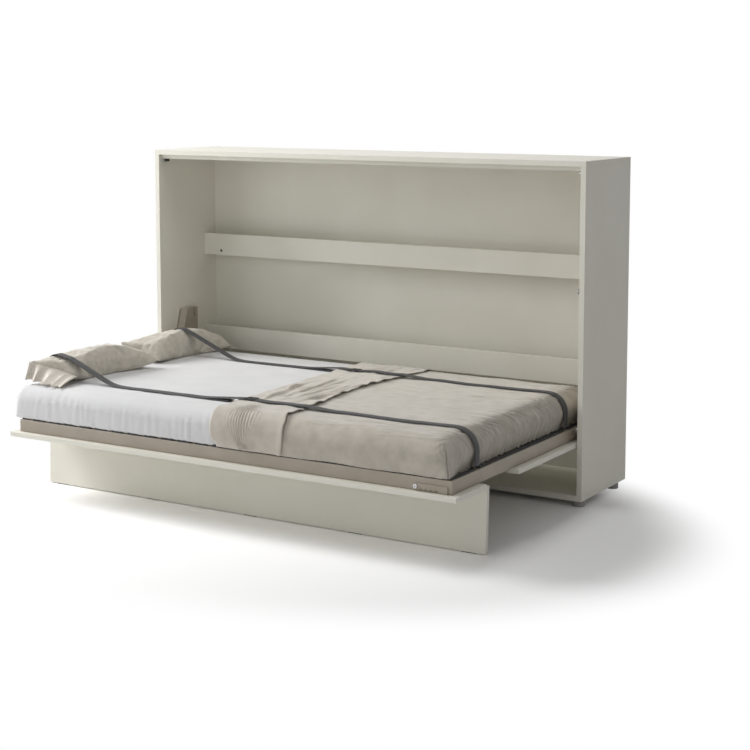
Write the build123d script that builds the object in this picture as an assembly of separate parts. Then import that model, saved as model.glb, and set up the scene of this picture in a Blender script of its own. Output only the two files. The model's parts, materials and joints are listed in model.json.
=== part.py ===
from build123d import *
import os
from math import atan2, cos, degrees, floor, hypot, radians, sin, sqrt

# Horizontal wall bed, folded down out of its cabinet. Sizes in millimetres.
# X runs along the cabinet, +Y points to the wall, +Z is up.
# The origin is on the floor, in the middle of the overall box.

# Cabinet
board = 22                     # carcass boards
cabinet_depth = 447
edge_round = 0.8               # rounding of every coated board edge
foot_height = 26
foot_diameter = 50
foot_inset_side = 28           # foot axis from the cabinet's outer end
foot_inset_front = 38
foot_inset_back = 71
back_thickness = 8
back_recess = 20               # rear face of the back panel from the wall
groove_depth = 9
back_in_groove = 8
groove_clearance = 0.1
dowel_diameter = 8
dowel_in_board = 12            # dowel's depth in the top or bottom board
dowel_in_side = 24
dowel_count = 3
dowel_pitch = 160
rail_dowel_pitch = 56
dowel_clearance = 0.05
bed_space = 332                # clear depth from the cabinet front to the back rails
back_rail_thickness = 18
upper_rail_low = 867
upper_rail_height = 100
lower_rail_low = 425
lower_rail_height = 105.5
stop_thickness = 18
stop_depth = 60
wall_fixing_inset = 98         # wall fixing from the inner face of a side
wall_fixing_rise = 21          # wall fixing above the upper rail's lower edge
spacer_diameter = 14
spacer_bore = 8.5
spacer_clearance = 0.05

# Buffers that the closed front leans on
buffer_clearance = 0.4         # tip to closed front
tip_length = 3.6
tip_step = 1.4                 # tip slimmer than its sleeve, all round
tip_round = 1
buffer_length = 38
top_buffer_radius = 6
top_buffer_offset = 11         # buffer axis from the side board
top_buffer_drop = 26.5         # buffer axis below the top board
side_buffer_radius = 4.5
side_buffer_offset = 14
side_buffer_pitch = 13

# Bed frame, pivot and front boards
frame_length = 2000
frame_width = 1200
rail_height = 50
rail_width = 30
rail_wall = 2
rail_corner = 4
side_gap = 36                  # frame end to the cabinet's side
facade_height = 241            # underside of the front boards above the floor
facade_thickness = 18
facade_overhang = 27           # front board ahead of the frame
facade_gap = 6                 # front board end to the cabinet's side
top_gap = 4                    # closed front board to the top board
stop_gap = 4                   # closed front board to the stop strip
pivot_depth = 56.5             # pivot axis behind the outer face of the front boards
frame_behind_pivot = 180.5
floor_clearance = 9            # swinging rear edge above the bottom board
strip_width = 230
slat_width = 53
slat_thickness = 6
slat_pitch = 82
slat_clearance = 0.1
holder_wall = 1
holder_length = 26
holder_inset = 2               # holder from the frame's outer face
pad_height = 5
pad_inset = 6                  # pad from the edges of the end rails
pad_strap_gap = 3

# Folding leg
leg_tilt = 2.4                 # degrees, foot of the leg forward
leg_end_gap = 2                # leg shorter than the front boards at each end
leg_proud = 1                  # closed leg in front of the front boards
leg_pin_inset = 5              # pin axis from the leg's outer face
leg_pin_end = 6                # pin axis from the leg's hinged end
leg_inner_round = 5
leg_swing_gap = 2.5
glide_height = 3
glide_gap = 2                  # closed leg's glides to the lower front board
glide_length = 60
glide_margin = 3
glide_spacing = 480
hinge_count = 3
hinge_spacing = 700
lug_width = 8
lug_radius = 5
lug_side_gap = 0.5
lug_plate = 3
lug_plate_width = 40
lug_plate_length = 60
leg_pin_diameter = 6
leg_pin_length = 48

# Pivot and gas struts, in the gap at each end of the frame
pin_clearance = 0.05
arm_thickness = 5
arm_front_radius = 13
arm_front_ahead = 43.5         # rounded front end of the arm ahead of the pivot
arm_front_drop = 17.5
arm_pivot_radius = 18
arm_stud_radius = 15
boss_length = 7
boss_radius = 14
bush_radius = 11
pivot_pin_radius = 8
collar_radius = 13
end_play = 0.5
plate_thickness = 4
plate_pivot_radius = 32
plate_anchor_radius = 15
stud_behind = 110              # strut stud behind the pivot
stud_radius = 5
anchor_behind = 158.5          # strut anchor behind the pivot
anchor_above = 287.5
strut_offset = 15              # strut axis from the side board
strut_radius = 9
strut_wall = 2
strut_end_wall = 4
strut_length = 225             # cylinder's end from the anchor
strut_neck = 16
strut_neck_radius = 5.5
gland_length = 18
rod_radius = 4
piston_length = 16
piston_place = 45              # piston from the anchor when the bed is open
eye_width = 12
eye_radius = 9
anchor_head = 3                # head of the anchor pin inside the strut's eye
anchor_head_radius = 8
pin_end = 10                   # pins reach into the side board
stud_gap = 1                   # stud stops short of the rod's eye

# Mechanism covers
cover_wall = 2.5
cover_height = 29              # raised face from the side board
cover_flange = 3
cover_low = 47.5               # heights above the pivot
cover_high = 332.5
cover_rear = 177.5             # distances behind the pivot
cover_front = 79.5             # at the top of the cover
cover_flange_width = 10
cover_raised = 101.5
cover_lean = 0.29              # forward lean of the front edge
slot_width = 5
slot_height = 35
slot_foot = 18
slot_rear_margin = 10
slot_top_margin = 7

# Lock lever on the front rail
lever_thickness = 5
lever_height = 22.5
lever_pivot_side = 143         # lever bolt from the frame's right end
lever_end_side = 16            # lever's end from the frame's right end
lever_rise = 16                # lever bolt above the front boards
lever_hook_width = 30
lever_hook_gap = 1
notch_radius = 6.5
notch_pitch = 20.3
notch_count = 4
notch_start = 22.5
lever_play = 0.4
bolt_head_radius = 8.5
bolt_head_height = 4
bolt_head_round = 1.3
bolt_radius = 4
bolt_socket_radius = 3.5       # across the socket's corners
bolt_socket_depth = 3.5

# Bedding and straps
mattress_short = 22            # mattress shorter than the frame
mattress_narrow = 10           # and narrower
mattress_height = 126
mattress_shift = -14           # towards the head end
mattress_round = 28
soft_gap = 0.4
blanket_thickness = 6
blanket_length = 1041          # from the mattress's foot end to the folded head edge
blanket_fold = 302             # width of the folded-back band
blanket_hem = 4                # hem above the mattress's underside
pillow_side = 30               # pillow's height at its long edges
pillow_end = 40                # and at its ends
pillow_crown = 112
front_pillow_length = 597
rear_pillow_length = 485
pillow_width = 215
front_pillow_inset = 36        # pillow from the mattress's front edge
pillow_gap = 25
strap_width = 38
strap_thickness = 1.6
strap_tuck = 26
strap_bend = 34                # round the foot end's upper edge
strap_turn_radius = 5          # where the strap turns in under the mattress
strap_slope = 60               # strap's run down from a pillow's edge
fold_slope = 30                # strap's run up to the blanket's fold
front_strap_inset = 193        # strap from the mattress's front edge
rear_strap_inset = 948
buckle_length = 44
buckle_margin = 6
buckle_height = 5
buckle_round = 1.6
buckle_slot = 9
buckle_inset = 78              # buckle's middle from the blanket's folded edge

# Places worked out from the sizes above
inner_half = frame_length / 2 + side_gap
outer_half = inner_half + board
frame_half = frame_length / 2
facade_half = inner_half - facade_gap
front_reach = frame_width - frame_behind_pivot + facade_overhang - pivot_depth
cabinet_front = (front_reach - cabinet_depth) / 2
cabinet_back = cabinet_front + cabinet_depth
pivot_y = cabinet_front + pivot_depth
pivot_z = facade_height + pivot_depth
frame_rear = pivot_y + frame_behind_pivot
frame_front = frame_rear - frame_width
facade_front = frame_front - facade_overhang
facade_top = facade_height + facade_thickness
cabinet_height = pivot_z + pivot_y - facade_front + top_gap + board
carcass_low = foot_height + board
carcass_high = cabinet_height - board
back_front = cabinet_back - back_recess - back_thickness
back_rail_front = cabinet_front + bed_space
closed_inner_face = cabinet_front + facade_thickness
rear_swing = pivot_z - carcass_low - floor_clearance
facade_rear = pivot_y + sqrt(rear_swing ** 2 - pivot_depth ** 2)
rail_top = facade_top + rail_height
holder_height = slat_thickness + 2 * (slat_clearance + holder_wall)
mattress_low = rail_top + holder_height
mattress_top = mattress_low + mattress_height
mattress_width = frame_width - mattress_narrow
mattress_length = frame_length - mattress_short
mattress_rear = (frame_front + frame_rear + mattress_width) / 2
mattress_front = mattress_rear - mattress_width
mattress_left = mattress_shift - mattress_length / 2
mattress_right = mattress_shift + mattress_length / 2
strip_rear = facade_front + strip_width
leg_pin_y = strip_rear + hypot(leg_pin_inset, leg_pin_end) + leg_swing_gap
leg_pin_z = facade_height - leg_proud + leg_pin_inset
tilt = radians(leg_tilt)
leg_drop = leg_pin_z - glide_height - (facade_thickness / 2 - leg_pin_inset) * sin(tilt)
leg_length = leg_pin_end + leg_drop / cos(tilt)
leg_closed_end = leg_pin_y - leg_pin_end
seam_gap = glide_height + glide_gap
lower_board_front = leg_closed_end + leg_length + seam_gap
leg_half = facade_half - leg_end_gap
leg_seam_closed = pivot_z + pivot_y - lower_board_front + seam_gap / 2
strut_x = inner_half - strut_offset
anchor_y = pivot_y + anchor_behind
anchor_z = pivot_z + anchor_above
stud_y = pivot_y + stud_behind
strut_span = hypot(anchor_y - stud_y, anchor_above)
strut_turn = degrees(atan2(stud_y - anchor_y, anchor_above))
lever_x = frame_half - lever_pivot_side
lever_z = facade_top + lever_rise
blanket_head = mattress_right - blanket_length
blanket_fold_end = blanket_head + blanket_fold
fold_top = soft_gap + 2 * blanket_thickness
fold_high = mattress_top + fold_top
pillow_right = mattress_left + pillow_width
buckle_x = blanket_head + buckle_inset
wall_fixing_x = inner_half - wall_fixing_inset
wall_fixing_z = upper_rail_low + wall_fixing_rise


def block(x, y, z):
    """Box between two limits on each axis."""
    centre = Pos(sum(x) / 2, sum(y) / 2, sum(z) / 2)
    return centre * Box(abs(x[1] - x[0]), abs(y[1] - y[0]), abs(z[1] - z[0]))


def coated_board(x, y, z):
    """Board with its edges slightly rounded."""
    panel = block(x, y, z)
    return fillet(panel.edges(), edge_round)


def rod_x(radius, x, y, z):
    """Round bar along X."""
    return Pos(sum(x) / 2, y, z) * Rot(0, 90, 0) * Cylinder(radius, abs(x[1] - x[0]))


def rod_y(radius, x, y, z):
    """Round bar along Y."""
    return Pos(x, sum(y) / 2, z) * Rot(90, 0, 0) * Cylinder(radius, abs(y[1] - y[0]))


def rod_z(radius, x, y, z):
    """Round bar along Z."""
    return Pos(x, y, sum(z) / 2) * Cylinder(radius, abs(z[1] - z[0]))


def across_x(outline, x):
    """Outline drawn in Y and Z, made a plate between two X limits."""
    return extrude(Plane.YZ.offset(min(x)) * outline, abs(x[1] - x[0]))


def across_y(outline, y):
    """Outline drawn in X and Z, made a plate between two Y limits."""
    return extrude(Plane.XZ.offset(-max(y)) * outline, abs(y[1] - y[0]))


def other_side(shape):
    """The same piece at the other end of the bed."""
    return mirror(shape, about=Plane.YZ)


def both_sides(shape):
    """A right piece and its left twin, as one group."""
    return Compound([shape, other_side(shape)])


def save(name, shape):
    """Write one piece."""
    export_step(shape, f"parts/{name}.step")


def spread(count, pitch):
    """Evenly spaced places about zero."""
    return [(i - (count - 1) / 2) * pitch for i in range(count)]


# Cabinet carcass

def corner_dowels(spare):
    """Right-hand upright dowels in the top and bottom boards, or their holes with some spare room."""
    x = outer_half - board / 2
    middle = (cabinet_front + cabinet_back) / 2
    low = (carcass_low - dowel_in_board - spare, carcass_low + dowel_in_side + spare)
    high = (carcass_high - dowel_in_side - spare, carcass_high + dowel_in_board + spare)
    radius = dowel_diameter / 2 + spare
    return [rod_z(radius, x, middle + y, z) for z in (low, high) for y in spread(dowel_count, dowel_pitch)]


def rail_dowels(spare):
    """Right-hand dowels that hold the back rails in the side board, or their holes."""
    y = back_rail_front + back_rail_thickness / 2
    x = (inner_half - dowel_in_side - spare, inner_half + dowel_in_board + spare)
    rails = [upper_rail_low + upper_rail_height / 2, lower_rail_low + lower_rail_height / 2]
    radius = dowel_diameter / 2 + spare
    return [rod_x(radius, x, y, z + rise) for z in rails for rise in spread(2, rail_dowel_pitch)]


def dowel_holes():
    """Every dowel hole on both sides."""
    right = corner_dowels(dowel_clearance) + rail_dowels(dowel_clearance)
    return right + [other_side(hole) for hole in right]


def back_groove():
    """Groove for the back panel, cut from the boards round it."""
    half = inner_half + groove_depth
    y = (back_front - groove_clearance, back_front + back_thickness + groove_clearance)
    return block((-half, half), y, (carcass_low - groove_depth, carcass_high + groove_depth))


def wall_fixings(radius, y):
    """Round bars at both wall fixings."""
    return [rod_y(radius, x, y, wall_fixing_z) for x in (-wall_fixing_x, wall_fixing_x)]


def make_carcass():
    depth = (cabinet_front, cabinet_back)
    cuts = dowel_holes() + [back_groove()]
    side = coated_board((inner_half, outer_half), depth, (carcass_low, carcass_high))
    holes = plate_holes()
    save("right_side", side - cuts - holes)
    save("left_side", other_side(side) - cuts - [other_side(hole) for hole in holes])
    width = (-outer_half, outer_half)
    save("top_board", coated_board(width, depth, (carcass_high, cabinet_height)) - cuts)
    save("bottom_board", coated_board(width, depth, (foot_height, carcass_low)) - cuts)
    dowels = corner_dowels(0) + rail_dowels(0)
    save("carcass_dowels", Compound(dowels + [other_side(dowel) for dowel in dowels]))


def make_back():
    half = inner_half + back_in_groove
    rise = (carcass_low - back_in_groove, carcass_high + back_in_groove)
    spacer_holes = wall_fixings(spacer_diameter / 2 + spacer_clearance, (cabinet_front, cabinet_back))
    panel = block((-half, half), (back_front, back_front + back_thickness), rise)
    save("back_panel", panel - spacer_holes)
    across = (-inner_half, inner_half)
    depth = (back_rail_front, back_rail_front + back_rail_thickness)
    upper = coated_board(across, depth, (upper_rail_low, upper_rail_low + upper_rail_height))
    save("upper_rail", upper - dowel_holes() - spacer_holes)
    lower = coated_board(across, depth, (lower_rail_low, lower_rail_low + lower_rail_height))
    save("lower_rail", lower - dowel_holes())
    tube = (back_rail_front, cabinet_back)
    spacers = zip(wall_fixings(spacer_diameter / 2, tube), wall_fixings(spacer_bore / 2, tube))
    save("wall_spacers", Compound([spacer - bore for spacer, bore in spacers]))
    stop = (closed_inner_face + stop_gap, closed_inner_face + stop_gap + stop_depth)
    save("stop_strip", coated_board(across, stop, (carcass_high - stop_thickness, carcass_high)))


def make_feet():
    foot = rod_z(foot_diameter / 2, 0, 0, (0, foot_height))
    foot = fillet(foot.edges().group_by(Axis.Z)[0], edge_round)
    side = outer_half - foot_inset_side
    rows = (cabinet_front + foot_inset_front, cabinet_back - foot_inset_back)
    save("feet", Compound([Pos(x, y, 0) * foot for x in (-side, 0, side) for y in rows]))


def buffer(radius, offset, z):
    """Buffer sleeve on its clip, on the right side board."""
    x = inner_half - offset
    y = (closed_inner_face + buffer_clearance + tip_length, closed_inner_face + buffer_length)
    clip = block((x, inner_half), (y[0] + radius, y[1]), (z - radius, z + radius))
    return rod_y(radius, x, y, z) + clip


def buffer_tip(radius, offset, z):
    """Steel tip of a buffer."""
    start = closed_inner_face + buffer_clearance
    tip = rod_y(radius - tip_step, inner_half - offset, (start, start + tip_length), z)
    return fillet(tip.edges().group_by(Axis.Y)[0], tip_round)


def make_buffers():
    top = (top_buffer_radius, top_buffer_offset, carcass_high - top_buffer_drop)
    save("top_buffers", both_sides(buffer(*top)))
    save("top_buffer_tips", both_sides(buffer_tip(*top)))
    heights = [leg_seam_closed + rise for rise in spread(2, side_buffer_pitch)]
    pair = [(side_buffer_radius, side_buffer_offset, z) for z in heights]
    save("side_buffers", Compound([buffer(*place) for place in pair]))
    save("side_buffer_tips", Compound([buffer_tip(*place) for place in pair]))


# Pivot, struts and covers

def pivot_plate_outline(spare):
    """Steel plate from the pivot up to the strut's anchor, in Y and Z."""
    low = Pos(pivot_y, pivot_z) * Circle(plate_pivot_radius + spare)
    high = Pos(anchor_y, anchor_z) * Circle(plate_anchor_radius + spare)
    return make_hull(low.edges() + high.edges())


def plate_holes():
    """Holes in the right side board for the ends of the pivot pin and the anchor pin."""
    ends = (inner_half, inner_half + pin_end)
    pivot = rod_x(pivot_pin_radius + pin_clearance, ends, pivot_y, pivot_z)
    anchor = rod_x(stud_radius + pin_clearance, ends, anchor_y, anchor_z)
    return [pivot, anchor]


def make_pivots():
    plate_face = inner_half - plate_thickness
    through = (plate_face, inner_half)
    plate = across_x(pivot_plate_outline(0), through)
    plate -= rod_x(pivot_pin_radius + pin_clearance, through, pivot_y, pivot_z)
    plate -= rod_x(stud_radius + pin_clearance, through, anchor_y, anchor_z)
    save("right_pivot_plate", plate)
    save("left_pivot_plate", other_side(plate))

    boss_end = frame_half + arm_thickness + boss_length
    pin = rod_x(pivot_pin_radius, (frame_half + end_play, inner_half + pin_end), pivot_y, pivot_z)
    pin += rod_x(collar_radius, (boss_end + end_play, plate_face), pivot_y, pivot_z)
    save("pivot_pins", both_sides(pin))

    eye = (strut_x - eye_width / 2, strut_x + eye_width / 2)
    anchor = rod_x(stud_radius, (eye[0] - anchor_head, inner_half + pin_end), anchor_y, anchor_z)
    anchor += rod_x(anchor_head_radius, (eye[0] - anchor_head, eye[0] - end_play), anchor_y, anchor_z)
    anchor += rod_x(anchor_head_radius, (eye[1] + end_play, plate_face), anchor_y, anchor_z)
    save("strut_anchor_pins", both_sides(anchor))


def hinge_arm():
    """Right arm of the bed: a plate on the frame's end with the pivot boss."""
    front = Pos(pivot_y - arm_front_ahead, pivot_z - arm_front_drop) * Circle(arm_front_radius)
    middle = Pos(pivot_y, pivot_z) * Circle(arm_pivot_radius)
    rear = Pos(stud_y, pivot_z) * Circle(arm_stud_radius)
    outline = make_hull(front.edges() + middle.edges()) + make_hull(middle.edges() + rear.edges())
    plate_end = frame_half + arm_thickness
    arm = across_x(outline, (frame_half, plate_end))
    arm += rod_x(boss_radius, (plate_end, plate_end + boss_length), pivot_y, pivot_z)
    bore = (frame_half, plate_end + boss_length)
    return arm - rod_x(bush_radius + pin_clearance, bore, pivot_y, pivot_z)


def make_arms():
    arm = hinge_arm()
    save("right_hinge_arm", arm)
    save("left_hinge_arm", other_side(arm))
    plate_end = frame_half + arm_thickness
    length = (frame_half, plate_end + boss_length)
    bush = rod_x(bush_radius, length, pivot_y, pivot_z)
    bush -= rod_x(pivot_pin_radius + pin_clearance, length, pivot_y, pivot_z)
    save("pivot_bushes", both_sides(bush))
    stud = rod_x(stud_radius, (plate_end, strut_x - eye_width / 2 - stud_gap), stud_y, pivot_z)
    save("strut_studs", both_sides(stud))


def place_strut(shape):
    """Put a strut piece, drawn downwards from the anchor, in its place on the right side."""
    return Pos(strut_x, anchor_y, anchor_z) * Rot(strut_turn, 0, 0) * shape


def make_struts():
    eye_x = (-eye_width / 2, eye_width / 2)
    barrel = rod_x(eye_radius, eye_x, 0, 0)
    barrel += rod_z(strut_neck_radius, 0, 0, (-strut_neck, 0))
    barrel += rod_z(strut_radius, 0, 0, (-strut_length, -strut_neck))
    chamber = (gland_length - strut_length, -strut_neck - strut_end_wall)
    barrel -= rod_z(strut_radius - strut_wall, 0, 0, chamber)
    barrel -= rod_z(rod_radius + pin_clearance, 0, 0, (-strut_length, chamber[0]))
    barrel -= rod_x(stud_radius + pin_clearance, eye_x, 0, 0)
    barrel = place_strut(barrel)
    save("right_strut_cylinder", barrel)
    save("left_strut_cylinder", other_side(barrel))

    rod = rod_z(rod_radius, 0, 0, (-strut_span, -piston_place))
    piston_radius = strut_radius - strut_wall - pin_clearance
    rod += rod_z(piston_radius, 0, 0, (-piston_place - piston_length, -piston_place))
    rod += rod_x(eye_radius, eye_x, 0, -strut_span)
    rod -= rod_x(stud_radius + pin_clearance, eye_x, 0, -strut_span)
    rod = place_strut(rod)
    save("right_strut_rod", rod)
    save("left_strut_rod", other_side(rod))


def cover_outline(front, margin, below):
    """Four-sided outline of a cover in Y and Z, inset by a margin, with its front edge leaning."""
    high = pivot_z + cover_high - margin
    low = pivot_z + cover_low - below
    rear = pivot_y + cover_rear - margin
    front_high = pivot_y + front + margin
    front_low = front_high - cover_lean * (high - low)
    return make_face(Polyline((front_low, low), (front_high, high), (rear, high), (rear, low), close=True))


def make_covers():
    flange = across_x(cover_outline(cover_front, 0, 0), (inner_half - cover_flange, inner_half))
    foot = cover_front + cover_flange_width
    shell = loft([
        Plane.YZ.offset(inner_half - cover_flange) * cover_outline(foot, 0, 0),
        Plane.YZ.offset(inner_half - cover_height) * cover_outline(cover_raised, 0, 0),
    ])
    hollow = loft([
        Plane.YZ.offset(inner_half) * cover_outline(foot, cover_wall, cover_wall),
        Plane.YZ.offset(inner_half - cover_height + cover_wall) * cover_outline(cover_raised, cover_wall, cover_wall),
    ])
    cover = flange + shell - hollow
    cover -= across_x(pivot_plate_outline(end_play), (inner_half - plate_thickness - end_play, inner_half))
    rear = pivot_y + cover_rear - slot_rear_margin
    high = pivot_z + cover_high - slot_top_margin
    face = (inner_half - cover_height, inner_half - cover_height + cover_wall)
    cover -= block(face, (rear - slot_foot, rear - slot_foot + slot_width), (high - slot_height, high))
    cover -= block(face, (rear - slot_foot, rear), (high - slot_height, high - slot_height + slot_width))
    save("right_mechanism_cover", cover)
    save("left_mechanism_cover", other_side(cover))


# Bed: front boards, frame and slats

def make_front_boards():
    across = (-facade_half, facade_half)
    thickness = (facade_height, facade_top)
    save("facade_strip", coated_board(across, (facade_front, strip_rear), thickness))
    save("facade_board", coated_board(across, (lower_board_front, facade_rear), thickness))


def rail_tube(length):
    """Rounded steel tube along X, centred."""
    outer = RectangleRounded(rail_width, rail_height, rail_corner)
    inner_corner = max(rail_corner - rail_wall, edge_round)
    inner = RectangleRounded(rail_width - 2 * rail_wall, rail_height - 2 * rail_wall, inner_corner)
    return extrude(Plane.YZ.offset(-length / 2) * (outer - inner), length)


def mitred_rail(length):
    """Tube along X with its ends cut at 45 degrees, longest on its -Y side."""
    outer = length / 2
    inner = outer - rail_width
    side = rail_width / 2
    corners = [(-outer, -side), (outer, -side), (inner, side), (-inner, side)]
    wedge = extrude(make_face(Polyline(*corners, close=True)), rail_height / 2, both=True)
    return rail_tube(length) & wedge


def make_frame():
    z = facade_top + rail_height / 2
    front = Pos(0, frame_front + rail_width / 2, z) * mitred_rail(frame_length)
    bolt_hole = (frame_front, frame_front + rail_wall)
    front -= rod_y(bolt_radius + pin_clearance, lever_x, bolt_hole, lever_z)
    save("front_rail", front)
    save("rear_rail", Pos(0, frame_rear - rail_width / 2, z) * Rot(0, 0, 180) * mitred_rail(frame_length))
    middle = (frame_front + frame_rear) / 2
    right = Pos(frame_half - rail_width / 2, middle, z) * Rot(0, 0, 90) * mitred_rail(frame_width)
    save("right_rail", right)
    save("left_rail", other_side(right))
    save("centre_beam", Pos(0, middle, z) * rail_tube(frame_length - 2 * rail_width))


def make_slats():
    room = frame_length - 2 * rail_width - slat_width - 2 * holder_wall
    count = floor(room / slat_pitch) + 1
    low = rail_top + holder_wall + slat_clearance
    start = frame_front + holder_inset + holder_wall + slat_clearance
    end = frame_rear - holder_inset - holder_wall - slat_clearance
    half = slat_width / 2
    slat = block((-half, half), (start, end), (low, low + slat_thickness))
    pocket_half = half + slat_clearance
    pocket_z = (rail_top + holder_wall, rail_top + holder_height - holder_wall)
    pocket = block((-pocket_half, pocket_half), (start - slat_clearance, end + slat_clearance), pocket_z)
    holder_half = pocket_half + holder_wall
    z = (rail_top, rail_top + holder_height)
    y = frame_front + holder_inset
    front_holder = block((-holder_half, holder_half), (y, y + holder_length), z) - pocket
    y = frame_rear - holder_inset
    rear_holder = block((-holder_half, holder_half), (y - holder_length, y), z) - pocket
    places = spread(count, slat_pitch)
    save("slats", Compound([Pos(x, 0, 0) * slat for x in places]))
    holders = [Pos(x, 0, 0) * holder for x in places for holder in (front_holder, rear_holder)]
    save("slat_holders", Compound(holders))


def make_pads():
    """Rubber strips on the end rails, open where the straps pass."""
    x = (frame_half - rail_width + pad_inset, frame_half - pad_inset)
    z = (rail_top, rail_top + pad_height)
    pad = block(x, (frame_front + pad_inset, frame_rear - pad_inset), z)
    room = strap_width / 2 + pad_strap_gap
    for inset in (front_strap_inset, rear_strap_inset):
        y = mattress_front + inset
        pad -= block(x, (y - room, y + room), z)
    save("rail_pads", Compound([*pad.solids(), *other_side(pad).solids()]))


def make_lever():
    end = frame_half - lever_end_side
    low = lever_z - lever_height / 2
    high = lever_z + lever_height / 2
    y = (frame_front - lever_play - lever_thickness, frame_front - lever_play)
    lever = rod_y(lever_height / 2, lever_x, y, lever_z) + block((lever_x, end), y, (low, high))
    lever += block((end - lever_hook_width, end), y, (facade_top + lever_hook_gap, high))
    for i in range(notch_count):
        lever -= rod_y(notch_radius, lever_x + notch_start + i * notch_pitch, y, low)
    lever -= rod_y(bolt_radius + pin_clearance, lever_x, y, lever_z)
    save("lock_lever", lever)
    head = y[0] - lever_play
    bolt = rod_y(bolt_radius, lever_x, (head, frame_front + rail_wall), lever_z)
    cap = rod_y(bolt_head_radius, lever_x, (head - bolt_head_height, head), lever_z)
    bolt += fillet(cap.edges().group_by(Axis.Y)[0], bolt_head_round)
    bolt += rod_y(bolt_head_radius, lever_x, (frame_front - lever_play, frame_front), lever_z)
    face = head - bolt_head_height
    socket = Pos(lever_x, lever_z) * RegularPolygon(bolt_socket_radius, 6)
    bolt -= across_y(socket, (face, face + bolt_socket_depth))
    save("lever_bolt", bolt)


# Folding leg, drawn closed and then opened about its pins

def opened(shape):
    """Turn a leg piece from its closed place to its open one."""
    return shape.rotate(Axis((0, leg_pin_y, leg_pin_z), (1, 0, 0)), -90 - leg_tilt)


def make_leg():
    low = facade_height - leg_proud
    high = low + facade_thickness
    far_end = leg_closed_end + leg_length
    leg = block((-leg_half, leg_half), (leg_closed_end, far_end), (low, high))
    inner_edge = leg.edges().filter_by(Axis.X).group_by(Axis.Z)[-1].sort_by(Axis.Y)[0]
    leg = fillet(inner_edge, leg_inner_round)
    notch_half = lug_width / 2 + lug_side_gap
    notch_end = leg_pin_y + lug_radius + lug_side_gap
    pins = []
    for x in spread(hinge_count, hinge_spacing):
        leg -= block((x - notch_half, x + notch_half), (leg_closed_end, notch_end), (low, high))
        pin = (x - leg_pin_length / 2, x + leg_pin_length / 2)
        leg -= rod_x(leg_pin_diameter / 2 + pin_clearance, pin, leg_pin_y, leg_pin_z)
        pins.append(rod_x(leg_pin_diameter / 2, pin, leg_pin_y, leg_pin_z))
    save("leg_board", opened(leg))
    save("leg_hinge_pins", opened(Compound(pins)))

    below_floor = block((-leg_half, leg_half), (facade_front, facade_rear), (-2 * glide_height, 0))
    pad_z = (low + glide_margin, high - glide_margin)
    pads = []
    for x in spread(1 + floor(2 * (leg_half - glide_length) / glide_spacing), glide_spacing):
        pad_x = (x - glide_length / 2, x + glide_length / 2)
        pads.append(opened(block(pad_x, (far_end, far_end + 2 * glide_height), pad_z)) - below_floor)
    save("leg_glides", Compound(pads))


def make_leg_lugs():
    lugs = []
    for x in spread(hinge_count, hinge_spacing):
        plate_x = (x - lug_plate_width / 2, x + lug_plate_width / 2)
        plate_y = (strip_rear - lug_plate_length, leg_pin_y + lug_radius)
        lug = block(plate_x, plate_y, (facade_top, facade_top + lug_plate))
        web = (x - lug_width / 2, x + lug_width / 2)
        lug += block(web, (leg_pin_y - lug_radius, leg_pin_y + lug_radius), (leg_pin_z, facade_top))
        lug += rod_x(lug_radius, web, leg_pin_y, leg_pin_z)
        lugs.append(lug - rod_x(leg_pin_diameter / 2 + pin_clearance, web, leg_pin_y, leg_pin_z))
    save("leg_hinge_lugs", Compound(lugs))


# Bedding and straps

def padded_block(x, y, z, radius):
    """Block with every edge rounded."""
    solid = block(x, y, z)
    return fillet(solid.edges(), radius)


def make_mattress():
    across = (mattress_left, mattress_right)
    depth = (mattress_front, mattress_rear)
    save("mattress", padded_block(across, depth, (mattress_low, mattress_top), mattress_round))


def draped(x, margin):
    """The mattress's upper part grown by a margin, between two X limits."""
    across = (mattress_left - margin, mattress_right + margin)
    depth = (mattress_front - margin, mattress_rear + margin)
    high = mattress_top + margin
    grown = padded_block(across, depth, (mattress_low - margin, high), mattress_round + margin)
    return grown & block(x, depth, (mattress_low + blanket_hem, high))


def make_blanket():
    far = mattress_right + fold_top
    blanket = draped((blanket_head, far), soft_gap + blanket_thickness)
    band = draped((blanket_head, blanket_fold_end), fold_top)
    save("blanket", blanket + band - draped((blanket_head, far), soft_gap))


def pillow(y):
    """Crowned pillow with a flat underside, between two Y limits."""
    low = mattress_top + soft_gap

    def arch(start, end, edge):
        over = ThreePointArc((start, low + edge), ((start + end) / 2, low + pillow_crown), (end, low + edge))
        rest = Polyline((end, low + edge), (end, low), (start, low), (start, low + edge))
        return make_face(Wire([over, *rest.edges()]))

    x = (mattress_left, pillow_right)
    return across_y(arch(*x, pillow_side), y) & across_x(arch(*y, pillow_end), x)


def make_pillows():
    start = mattress_front + front_pillow_inset
    front = (start, start + front_pillow_length)
    rear = (front[1] + pillow_gap, front[1] + pillow_gap + rear_pillow_length)
    save("front_pillow", pillow(front))
    save("rear_pillow", pillow(rear))


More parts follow.
